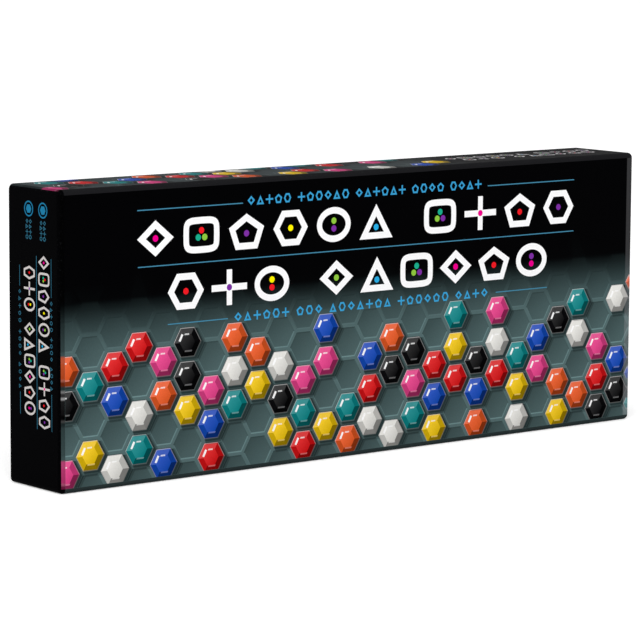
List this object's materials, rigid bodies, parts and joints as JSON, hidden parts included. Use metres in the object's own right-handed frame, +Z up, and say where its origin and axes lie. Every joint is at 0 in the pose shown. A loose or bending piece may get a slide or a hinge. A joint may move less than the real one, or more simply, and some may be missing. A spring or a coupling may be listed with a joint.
{
  "type": "boxed code breaking peg game",
  "caption": "Closed two-piece rigid game box standing on its long side, with a peg board, a hinged shield, domed pegs, an insert tray and a folded leaflet inside.",
  "frame": {"origin": "centre of the closed box's footprint, on the surface that it stands on", "axes": "+X along the box's length, to the right as its front is seen; +Y from the printed front to the back; +Z up, across the box's width"},
  "size_m": [0.3436, 0.04, 0.1336],
  "materials": {
    "lid_board": "varnished black print paper on rigid board",
    "base_board": "varnished black paper on rigid board",
    "leaflet_paper": "uncoated white paper, folded once",
    "insert_plastic": "thermoformed black sheet, satin",
    "board_plastic": "moulded slate grey, fine satin texture",
    "shield_plastic": "moulded dark slate, polished",
    "white_peg": "polished",
    "pink_peg": "polished",
    "red_peg": "polished",
    "orange_peg": "polished",
    "yellow_peg": "polished",
    "teal_peg": "polished",
    "blue_peg": "polished",
    "black_peg": "polished",
    "black_key": "polished",
    "white_key": "polished"
  },
  "bodies": {
    "base": {"box_base": "base_board"},
    "lid": {"box_lid": "lid_board"},
    "leaflet": {"rules_leaflet": "leaflet_paper"},
    "insert": {"insert_tray": "insert_plastic"},
    "board": {"game_board": "board_plastic"},
    "shield": {"code_shield": "shield_plastic"},
    "white_peg_1": {"white_peg_1": "white_peg"},
    "white_peg_2": {"white_peg_2": "white_peg"},
    "white_peg_3": {"white_peg_3": "white_peg"},
    "white_peg_4": {"white_peg_4": "white_peg"},
    "white_peg_5": {"white_peg_5": "white_peg"},
    "pink_peg_1": {"pink_peg_1": "pink_peg"},
    "pink_peg_2": {"pink_peg_2": "pink_peg"},
    "pink_peg_3": {"pink_peg_3": "pink_peg"},
    "pink_peg_4": {"pink_peg_4": "pink_peg"},
    "pink_peg_5": {"pink_peg_5": "pink_peg"},
    "red_peg_1": {"red_peg_1": "red_peg"},
    "red_peg_2": {"red_peg_2": "red_peg"},
    "red_peg_3": {"red_peg_3": "red_peg"},
    "red_peg_4": {"red_peg_4": "red_peg"},
    "red_peg_5": {"red_peg_5": "red_peg"},
    "orange_peg_1": {"orange_peg_1": "orange_peg"},
    "orange_peg_2": {"orange_peg_2": "orange_peg"},
    "orange_peg_3": {"orange_peg_3": "orange_peg"},
    "orange_peg_4": {"orange_peg_4": "orange_peg"},
    "orange_peg_5": {"orange_peg_5": "orange_peg"},
    "yellow_peg_1": {"yellow_peg_1": "yellow_peg"},
    "yellow_peg_2": {"yellow_peg_2": "yellow_peg"},
    "yellow_peg_3": {"yellow_peg_3": "yellow_peg"},
    "yellow_peg_4": {"yellow_peg_4": "yellow_peg"},
    "yellow_peg_5": {"yellow_peg_5": "yellow_peg"},
    "teal_peg_1": {"teal_peg_1": "teal_peg"},
    "teal_peg_2": {"teal_peg_2": "teal_peg"},
    "teal_peg_3": {"teal_peg_3": "teal_peg"},
    "teal_peg_4": {"teal_peg_4": "teal_peg"},
    "teal_peg_5": {"teal_peg_5": "teal_peg"},
    "blue_peg_1": {"blue_peg_1": "blue_peg"},
    "blue_peg_2": {"blue_peg_2": "blue_peg"},
    "blue_peg_3": {"blue_peg_3": "blue_peg"},
    "blue_peg_4": {"blue_peg_4": "blue_peg"},
    "blue_peg_5": {"blue_peg_5": "blue_peg"},
    "black_peg_1": {"black_peg_1": "black_peg"},
    "black_peg_2": {"black_peg_2": "black_peg"},
    "black_peg_3": {"black_peg_3": "black_peg"},
    "black_peg_4": {"black_peg_4": "black_peg"},
    "black_peg_5": {"black_peg_5": "black_peg"},
    "black_key_peg_1": {"black_key_peg_1": "black_key"},
    "black_key_peg_2": {"black_key_peg_2": "black_key"},
    "black_key_peg_3": {"black_key_peg_3": "black_key"},
    "black_key_peg_4": {"black_key_peg_4": "black_key"},
    "black_key_peg_5": {"black_key_peg_5": "black_key"},
    "black_key_peg_6": {"black_key_peg_6": "black_key"},
    "white_key_peg_1": {"white_key_peg_1": "white_key"},
    "white_key_peg_2": {"white_key_peg_2": "white_key"},
    "white_key_peg_3": {"white_key_peg_3": "white_key"},
    "white_key_peg_4": {"white_key_peg_4": "white_key"},
    "white_key_peg_5": {"white_key_peg_5": "white_key"},
    "white_key_peg_6": {"white_key_peg_6": "white_key"}
  },
  "joints": [
    {"name": "lid_slide", "type": "slide", "parent": "base", "child": "lid", "axis": [0, -1, 0], "range_m": [0, 0.16]},
    {"name": "leaflet_lift", "type": "slide", "parent": "base", "child": "leaflet", "axis": [0, -1, 0], "range_m": [0, 0.04]},
    {"name": "insert_lift", "type": "slide", "parent": "leaflet", "child": "insert", "axis": [0, -1, 0], "range_m": [0, 0.04]},
    {"name": "board_lift", "type": "slide", "parent": "insert", "child": "board", "axis": [0, -1, 0], "range_m": [0, 0.04]},
    {"name": "shield_hinge", "type": "hinge", "parent": "board", "child": "shield", "pos_m": [-0.14882, 0.0017, 0.0467], "axis": [0, 0, -1], "range_deg": [0, 90]},
    {"name": "white_peg_1_pull", "type": "slide", "parent": "board", "child": "white_peg_1", "axis": [0, -1, 0], "range_m": [0, 0.009]},
    {"name": "white_peg_2_pull", "type": "slide", "parent": "board", "child": "white_peg_2", "axis": [0, -1, 0], "range_m": [0, 0.009]},
    {"name": "white_peg_3_pull", "type": "slide", "parent": "board", "child": "white_peg_3", "axis": [0, -1, 0], "range_m": [0, 0.009]},
    {"name": "white_peg_4_pull", "type": "slide", "parent": "board", "child": "white_peg_4", "axis": [0, -1, 0], "range_m": [0, 0.009]},
    {"name": "white_peg_5_pull", "type": "slide", "parent": "board", "child": "white_peg_5", "axis": [0, -1, 0], "range_m": [0, 0.009]},
    {"name": "pink_peg_1_pull", "type": "slide", "parent": "board", "child": "pink_peg_1", "axis": [0, -1, 0], "range_m": [0, 0.009]},
    {"name": "pink_peg_2_pull", "type": "slide", "parent": "board", "child": "pink_peg_2", "axis": [0, -1, 0], "range_m": [0, 0.009]},
    {"name": "pink_peg_3_pull", "type": "slide", "parent": "board", "child": "pink_peg_3", "axis": [0, -1, 0], "range_m": [0, 0.009]},
    {"name": "pink_peg_4_pull", "type": "slide", "parent": "board", "child": "pink_peg_4", "axis": [0, -1, 0], "range_m": [0, 0.009]},
    {"name": "pink_peg_5_pull", "type": "slide", "parent": "board", "child": "pink_peg_5", "axis": [0, -1, 0], "range_m": [0, 0.009]},
    {"name": "red_peg_1_pull", "type": "slide", "parent": "board", "child": "red_peg_1", "axis": [0, -1, 0], "range_m": [0, 0.009]},
    {"name": "red_peg_2_pull", "type": "slide", "parent": "board", "child": "red_peg_2", "axis": [0, -1, 0], "range_m": [0, 0.009]},
    {"name": "red_peg_3_pull", "type": "slide", "parent": "board", "child": "red_peg_3", "axis": [0, -1, 0], "range_m": [0, 0.009]},
    {"name": "red_peg_4_pull", "type": "slide", "parent": "board", "child": "red_peg_4", "axis": [0, -1, 0], "range_m": [0, 0.009]},
    {"name": "red_peg_5_pull", "type": "slide", "parent": "board", "child": "red_peg_5", "axis": [0, -1, 0], "range_m": [0, 0.009]},
    {"name": "orange_peg_1_pull", "type": "slide", "parent": "board", "child": "orange_peg_1", "axis": [0, -1, 0], "range_m": [0, 0.009]},
    {"name": "orange_peg_2_pull", "type": "slide", "parent": "board", "child": "orange_peg_2", "axis": [0, -1, 0], "range_m": [0, 0.009]},
    {"name": "orange_peg_3_pull", "type": "slide", "parent": "board", "child": "orange_peg_3", "axis": [0, -1, 0], "range_m": [0, 0.009]},
    {"name": "orange_peg_4_pull", "type": "slide", "parent": "board", "child": "orange_peg_4", "axis": [0, -1, 0], "range_m": [0, 0.009]},
    {"name": "orange_peg_5_pull", "type": "slide", "parent": "board", "child": "orange_peg_5", "axis": [0, -1, 0], "range_m": [0, 0.009]},
    {"name": "yellow_peg_1_pull", "type": "slide", "parent": "board", "child": "yellow_peg_1", "axis": [0, -1, 0], "range_m": [0, 0.009]},
    {"name": "yellow_peg_2_pull", "type": "slide", "parent": "board", "child": "yellow_peg_2", "axis": [0, -1, 0], "range_m": [0, 0.009]},
    {"name": "yellow_peg_3_pull", "type": "slide", "parent": "board", "child": "yellow_peg_3", "axis": [0, -1, 0], "range_m": [0, 0.009]},
    {"name": "yellow_peg_4_pull", "type": "slide", "parent": "board", "child": "yellow_peg_4", "axis": [0, -1, 0], "range_m": [0, 0.009]},
    {"name": "yellow_peg_5_pull", "type": "slide", "parent": "board", "child": "yellow_peg_5", "axis": [0, -1, 0], "range_m": [0, 0.009]},
    {"name": "teal_peg_1_pull", "type": "slide", "parent": "board", "child": "teal_peg_1", "axis": [0, -1, 0], "range_m": [0, 0.009]},
    {"name": "teal_peg_2_pull", "type": "slide", "parent": "board", "child": "teal_peg_2", "axis": [0, -1, 0], "range_m": [0, 0.009]},
    {"name": "teal_peg_3_pull", "type": "slide", "parent": "board", "child": "teal_peg_3", "axis": [0, -1, 0], "range_m": [0, 0.009]},
    {"name": "teal_peg_4_pull", "type": "slide", "parent": "board", "child": "teal_peg_4", "axis": [0, -1, 0], "range_m": [0, 0.009]},
    {"name": "teal_peg_5_pull", "type": "slide", "parent": "board", "child": "teal_peg_5", "axis": [0, -1, 0], "range_m": [0, 0.009]},
    {"name": "blue_peg_1_pull", "type": "slide", "parent": "board", "child": "blue_peg_1", "axis": [0, -1, 0], "range_m": [0, 0.009]},
    {"name": "blue_peg_2_pull", "type": "slide", "parent": "board", "child": "blue_peg_2", "axis": [0, -1, 0], "range_m": [0, 0.009]},
    {"name": "blue_peg_3_pull", "type": "slide", "parent": "board", "child": "blue_peg_3", "axis": [0, -1, 0], "range_m": [0, 0.009]},
    {"name": "blue_peg_4_pull", "type": "slide", "parent": "board", "child": "blue_peg_4", "axis": [0, -1, 0], "range_m": [0, 0.009]},
    {"name": "blue_peg_5_pull", "type": "slide", "parent": "board", "child": "blue_peg_5", "axis": [0, -1, 0], "range_m": [0, 0.009]},
    {"name": "black_peg_1_pull", "type": "slide", "parent": "board", "child": "black_peg_1", "axis": [0, -1, 0], "range_m": [0, 0.009]},
    {"name": "black_peg_2_pull", "type": "slide", "parent": "board", "child": "black_peg_2", "axis": [0, -1, 0], "range_m": [0, 0.009]},
    {"name": "black_peg_3_pull", "type": "slide", "parent": "board", "child": "black_peg_3", "axis": [0, -1, 0], "range_m": [0, 0.009]},
    {"name": "black_peg_4_pull", "type": "slide", "parent": "board", "child": "black_peg_4", "axis": [0, -1, 0], "range_m": [0, 0.009]},
    {"name": "black_peg_5_pull", "type": "slide", "parent": "board", "child": "black_peg_5", "axis": [0, -1, 0], "range_m": [0, 0.009]},
    {"name": "black_key_peg_1_pull", "type": "slide", "parent": "board", "child": "black_key_peg_1", "axis": [0, -1, 0], "range_m": [0, 0.008]},
    {"name": "black_key_peg_2_pull", "type": "slide", "parent": "board", "child": "black_key_peg_2", "axis": [0, -1, 0], "range_m": [0, 0.008]},
    {"name": "black_key_peg_3_pull", "type": "slide", "parent": "board", "child": "black_key_peg_3", "axis": [0, -1, 0], "range_m": [0, 0.008]},
    {"name": "black_key_peg_4_pull", "type": "slide", "parent": "board", "child": "black_key_peg_4", "axis": [0, -1, 0], "range_m": [0, 0.008]},
    {"name": "black_key_peg_5_pull", "type": "slide", "parent": "board", "child": "black_key_peg_5", "axis": [0, -1, 0], "range_m": [0, 0.008]},
    {"name": "black_key_peg_6_pull", "type": "slide", "parent": "board", "child": "black_key_peg_6", "axis": [0, -1, 0], "range_m": [0, 0.008]},
    {"name": "white_key_peg_1_pull", "type": "slide", "parent": "board", "child": "white_key_peg_1", "axis": [0, -1, 0], "range_m": [0, 0.008]},
    {"name": "white_key_peg_2_pull", "type": "slide", "parent": "board", "child": "white_key_peg_2", "axis": [0, -1, 0], "range_m": [0, 0.008]},
    {"name": "white_key_peg_3_pull", "type": "slide", "parent": "board", "child": "white_key_peg_3", "axis": [0, -1, 0], "range_m": [0, 0.008]},
    {"name": "white_key_peg_4_pull", "type": "slide", "parent": "board", "child": "white_key_peg_4", "axis": [0, -1, 0], "range_m": [0, 0.008]},
    {"name": "white_key_peg_5_pull", "type": "slide", "parent": "board", "child": "white_key_peg_5", "axis": [0, -1, 0], "range_m": [0, 0.008]},
    {"name": "white_key_peg_6_pull", "type": "slide", "parent": "board", "child": "white_key_peg_6", "axis": [0, -1, 0], "range_m": [0, 0.008]}
  ],
  "couplings": [
    {"joint": "leaflet_lift", "follows": "lid_slide", "ratio": 0.25},
    {"joint": "insert_lift", "follows": "lid_slide", "ratio": 0.25},
    {"joint": "board_lift", "follows": "lid_slide", "ratio": 0.25}
  ]
}
